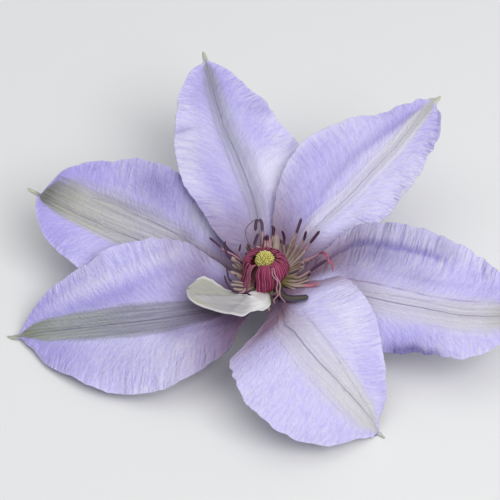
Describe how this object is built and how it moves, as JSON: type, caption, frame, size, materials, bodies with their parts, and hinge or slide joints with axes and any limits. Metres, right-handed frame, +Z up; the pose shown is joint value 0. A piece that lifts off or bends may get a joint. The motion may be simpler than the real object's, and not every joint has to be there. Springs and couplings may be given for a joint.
{
  "type": "clematis flower",
  "caption": "Large-flowered pale lilac clematis, picked with a short stalk, lying face up with its crimson stamens and green stigmas.",
  "frame": {"origin": "middle of the flower's box on the surface that it lies on", "axes": "+Z up out of the open face of the flower, +X to the right as the flower is seen from its front, +Y away from the viewer"},
  "size_m": [0.1528, 0.1284, 0.035],
  "materials": {
    "tepal": "soft satin petal, pale lilac with a greenish cream bar along the midrib",
    "petaloid": "soft satin petal, creamy white",
    "outer_stamens": "matt, cream to pink filaments with dark purple anthers",
    "inner_stamens": "matt, crimson straps with paler edges",
    "pistils": "matt, yellow green stigma knobs",
    "stalk": "downy green plant stem"
  },
  "bodies": {
    "root": {"tepal_left": "tepal", "tepal_top": "tepal", "tepal_upper_right": "tepal", "tepal_right": "tepal", "tepal_bottom": "tepal", "tepal_lower_left": "tepal", "petaloid": "petaloid", "outer_stamens": "outer_stamens", "inner_stamens": "inner_stamens", "pistils": "pistils", "stalk": "stalk"}
  },
  "joints": []
}
